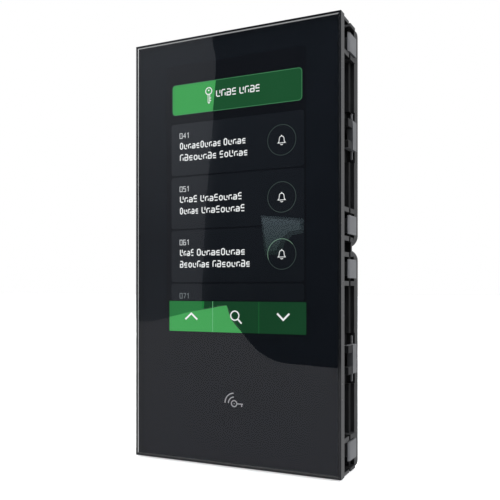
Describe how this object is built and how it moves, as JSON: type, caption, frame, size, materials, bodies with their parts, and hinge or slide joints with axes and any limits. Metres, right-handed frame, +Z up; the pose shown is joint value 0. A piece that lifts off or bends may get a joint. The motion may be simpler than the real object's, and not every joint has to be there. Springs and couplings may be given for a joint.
{
  "type": "video intercom monitor",
  "caption": "Tall glass-fronted touch intercom panel with a dark metal frame, two clip-in rear modules with side latches, an inner display, boards and a rear connector bay.",
  "frame": {"origin": "centre of the rear mounting plane, midway between the two rear modules", "axes": "+Z up, +Y into the wall (out of the back), +X to the right seen from the front"},
  "size_m": [0.1, 0.027, 0.191],
  "materials": {
    "front_glass": "polished, clear over a black print",
    "black_print": "opaque black ink",
    "touch_film": "clear conductive film",
    "black_foam": "black foam tape",
    "dark_aluminium": "dark grey anodised",
    "display_glass": "display sandwich",
    "chip_black": "moulded black",
    "clear_acrylic": "clear acrylic",
    "led_yellow": "phosphor yellow",
    "bare_aluminium": "pressed sheet",
    "amber_film": "amber film with copper tracks",
    "plated_steel": "tin or zinc plated",
    "screw_steel": "plated steel",
    "board_green": "green solder mask",
    "copper_track": "copper",
    "ferrite_grey": "ferrite filled",
    "housing_black": "fine moulded grain",
    "shell_black": "fine moulded grain",
    "seal_rubber": "soft black",
    "capacitor_can": "sleeved can",
    "connector_ivory": "ivory nylon",
    "ribbon_grey": "grey ribbon",
    "terminal_green": "green polyamide",
    "switch_red": "red moulded",
    "pad_grey": "grey acetal",
    "latch_grey": "grey acetal",
    "slider_white": "white acetal",
    "insert_brass": "turned brass"
  },
  "bodies": {
    "unit": {"front_glass": "front_glass", "mask_film": "black_print", "touch_sensor": "touch_film", "glass_bond_tape": "black_foam", "front_frame": "dark_aluminium", "lcd_cell": "display_glass", "lcd_driver_chip": "chip_black", "lcd_light_guide": "clear_acrylic", "lcd_led_strip": "led_yellow", "lcd_backlight_tray": "bare_aluminium", "lcd_flex_cable": "amber_film", "touch_flex_cable": "amber_film", "display_bracket": "plated_steel", "display_bracket_screws": "screw_steel", "rfid_antenna_board": "board_green", "rfid_coil": "copper_track", "rfid_ferrite_sheet": "ferrite_grey", "front_housing_upper": "housing_black", "front_housing_lower": "housing_black", "housing_bridge": "housing_black", "frame_screws": "screw_steel", "rear_shell_upper": "shell_black", "rear_shell_lower": "shell_black", "connector_bay_liner": "housing_black", "shell_seals": "seal_rubber", "shell_screws": "screw_steel", "main_board": "board_green", "processor": "chip_black", "processor_shield": "plated_steel", "memory_chips": "chip_black", "power_inductors": "ferrite_grey", "filter_capacitors": "capacitor_can", "board_connectors": "connector_ivory", "main_board_screws": "screw_steel", "io_board": "board_green", "io_board_screws": "screw_steel", "board_link_ribbon": "ribbon_grey", "terminal_block": "terminal_green", "terminal_screws": "screw_steel", "bus_sockets": "connector_ivory", "usb_socket": "plated_steel", "dip_switch_body": "switch_red", "tamper_switch_body": "chip_black", "reset_switch_body": "chip_black", "buzzer": "chip_black", "side_pads_left": "pad_grey", "side_pads_right": "pad_grey", "wall_inserts": "insert_brass"},
    "latch_upper_left": {"latch_upper_left": "latch_grey"},
    "latch_upper_right": {"latch_upper_right": "latch_grey"},
    "latch_lower_left": {"latch_lower_left": "latch_grey"},
    "latch_lower_right": {"latch_lower_right": "latch_grey"},
    "tamper_plunger": {"tamper_plunger": "slider_white", "tamper_spring": "screw_steel"},
    "reset_button": {"reset_button": "slider_white"},
    "dip_slider_1": {"dip_slider_1": "slider_white"},
    "dip_slider_2": {"dip_slider_2": "slider_white"},
    "dip_slider_3": {"dip_slider_3": "slider_white"},
    "dip_slider_4": {"dip_slider_4": "slider_white"}
  },
  "joints": [
    {"name": "latch_upper_left_press", "type": "slide", "parent": "unit", "child": "latch_upper_left", "axis": [1, 0, 0], "range_m": [0, 0.0012], "stiffness_N_per_m": 1200},
    {"name": "latch_upper_right_press", "type": "slide", "parent": "unit", "child": "latch_upper_right", "axis": [-1, 0, 0], "range_m": [0, 0.0012], "stiffness_N_per_m": 1200},
    {"name": "latch_lower_left_press", "type": "slide", "parent": "unit", "child": "latch_lower_left", "axis": [1, 0, 0], "range_m": [0, 0.0012], "stiffness_N_per_m": 1200},
    {"name": "latch_lower_right_press", "type": "slide", "parent": "unit", "child": "latch_lower_right", "axis": [-1, 0, 0], "range_m": [0, 0.0012], "stiffness_N_per_m": 1200},
    {"name": "tamper_press", "type": "slide", "parent": "unit", "child": "tamper_plunger", "axis": [0, -1, 0], "range_m": [0, 0.001], "stiffness_N_per_m": 400},
    {"name": "reset_press", "type": "slide", "parent": "unit", "child": "reset_button", "axis": [0, -1, 0], "range_m": [0, 0.0003], "stiffness_N_per_m": 4000},
    {"name": "dip_slider_1_slide", "type": "slide", "parent": "unit", "child": "dip_slider_1", "axis": [0, 0, 1], "range_m": [0, 0.0012]},
    {"name": "dip_slider_2_slide", "type": "slide", "parent": "unit", "child": "dip_slider_2", "axis": [0, 0, 1], "range_m": [0, 0.0012]},
    {"name": "dip_slider_3_slide", "type": "slide", "parent": "unit", "child": "dip_slider_3", "axis": [0, 0, 1], "range_m": [0, 0.0012]},
    {"name": "dip_slider_4_slide", "type": "slide", "parent": "unit", "child": "dip_slider_4", "axis": [0, 0, 1], "range_m": [0, 0.0012]}
  ]
}
